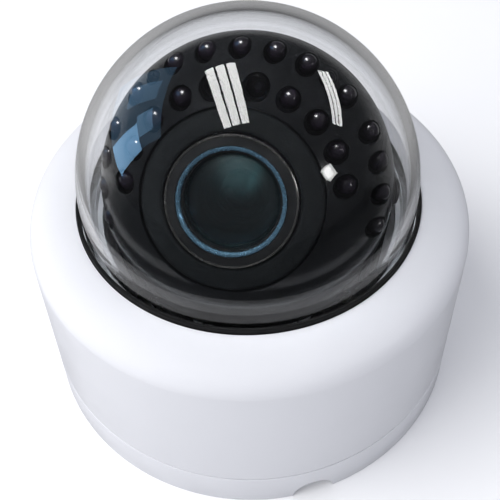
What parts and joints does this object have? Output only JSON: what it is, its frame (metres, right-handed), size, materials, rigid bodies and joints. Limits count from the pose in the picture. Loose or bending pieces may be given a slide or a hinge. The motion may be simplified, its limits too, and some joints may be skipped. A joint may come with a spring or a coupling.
{
  "type": "dome cctv camera",
  "caption": "Round white ceiling dome camera: clear bubble over a glossy black eyeball with rings of infrared LEDs round a varifocal lens, on a pan and tilt frame under a push-fit cover.",
  "frame": {"origin": "centre of the base's mounting face, where it meets the ceiling or table", "axes": "+Z out of the mounting face towards the top of the clear dome; -Y towards the side that the lens looks to"},
  "size_m": [0.1282, 0.1282, 0.1168],
  "materials": {
    "painted_metal_white": "white powder coat",
    "plastic_white": "satin white moulded plastic",
    "clear_polycarbonate": "clear polished polycarbonate",
    "gloss_black": "high-gloss black",
    "plastic_black": "satin black moulded plastic",
    "rubber_black": "matte black rubber",
    "foam_black": "soft matte black foam rubber",
    "steel": "zinc-plated steel",
    "steel_black": "blackened steel",
    "spring_steel": "spring steel",
    "circuit_board": "green solder mask",
    "terminal_green": "green terminal plastic",
    "led_board": "dark infrared LEDs on a black board",
    "lens_glass": "coated lens glass",
    "filter": "blue-green infrared filter glass",
    "chip": "dark chip",
    "light_sensor": "light sensor"
  },
  "bodies": {
    "base": {"base": "painted_metal_white", "seal_ring": "rubber_black", "cable_grommet": "rubber_black", "cover_clip_1": "spring_steel", "cover_clip_2": "spring_steel", "cover_clip_3": "spring_steel", "main_board": "circuit_board", "terminal_block": "terminal_green", "board_screw_1": "steel", "board_screw_2": "steel", "pan_retainer": "steel", "retainer_screw_1": "steel", "retainer_screw_2": "steel", "retainer_screw_3": "steel"},
    "cover": {"cover": "plastic_white", "dome": "clear_polycarbonate", "dome_gasket": "rubber_black", "dome_clamp": "plastic_white", "clamp_screw_1": "steel", "clamp_screw_2": "steel", "clamp_screw_3": "steel", "clamp_screw_4": "steel"},
    "pan_frame": {"pan_table": "plastic_black", "tilt_arm_left": "plastic_black", "tilt_arm_right": "plastic_black", "arm_screw_1": "steel", "arm_screw_2": "steel", "arm_screw_3": "steel", "arm_screw_4": "steel"},
    "tilt_shell": {"eyeball_rear": "gloss_black", "tilt_screw_left": "steel_black", "tilt_screw_right": "steel_black"},
    "camera_module": {"eyeball_front": "gloss_black", "ir_board_outer": "led_board", "ir_board_inner": "led_board", "led_window_left": "clear_polycarbonate", "led_window_right": "clear_polycarbonate", "light_sensor": "light_sensor", "front_screw_left": "steel_black", "front_screw_right": "steel_black", "roll_retainer": "plastic_black", "module_plate": "steel_black", "lens_holder": "plastic_black", "ir_filter": "filter", "image_sensor": "chip", "camera_board": "circuit_board", "camera_board_screw_1": "steel", "camera_board_screw_2": "steel", "board_connector": "plastic_white", "lens_barrel": "plastic_black", "light_seal": "foam_black"},
    "zoom_ring": {"zoom_ring": "plastic_black", "zoom_lock": "steel_black"},
    "focus_ring": {"focus_ring": "plastic_black", "focus_lock": "steel_black", "front_lens": "lens_glass"}
  },
  "joints": [
    {"name": "cover_lift", "type": "slide", "parent": "base", "child": "cover", "axis": [0, 0, 1], "range_m": [0, 0.11], "deforming": ["cover_clip_1", "cover_clip_2", "cover_clip_3"]},
    {"name": "pan", "type": "hinge", "parent": "base", "child": "pan_frame", "pos_m": [0, 0, 0.011], "axis": [0, 0, 1], "range_deg": [-175, 175]},
    {"name": "tilt", "type": "hinge", "parent": "pan_frame", "child": "tilt_shell", "pos_m": [0, 0, 0.0689], "axis": [0.9888, -0.1495, 0], "range_deg": [-52, 33]},
    {"name": "picture_turn", "type": "hinge", "parent": "tilt_shell", "child": "camera_module", "pos_m": [0, 0, 0.0689], "axis": [-0.1178, -0.7792, 0.6157], "range_deg": [-90, 90]},
    {"name": "zoom_turn", "type": "hinge", "parent": "camera_module", "child": "zoom_ring", "pos_m": [0, 0, 0.0689], "axis": [-0.1178, -0.7792, 0.6157], "range_deg": [-35, 35]},
    {"name": "focus_turn", "type": "hinge", "parent": "camera_module", "child": "focus_ring", "pos_m": [0, 0, 0.0689], "axis": [-0.1178, -0.7792, 0.6157], "range_deg": [-60, 60]}
  ]
}
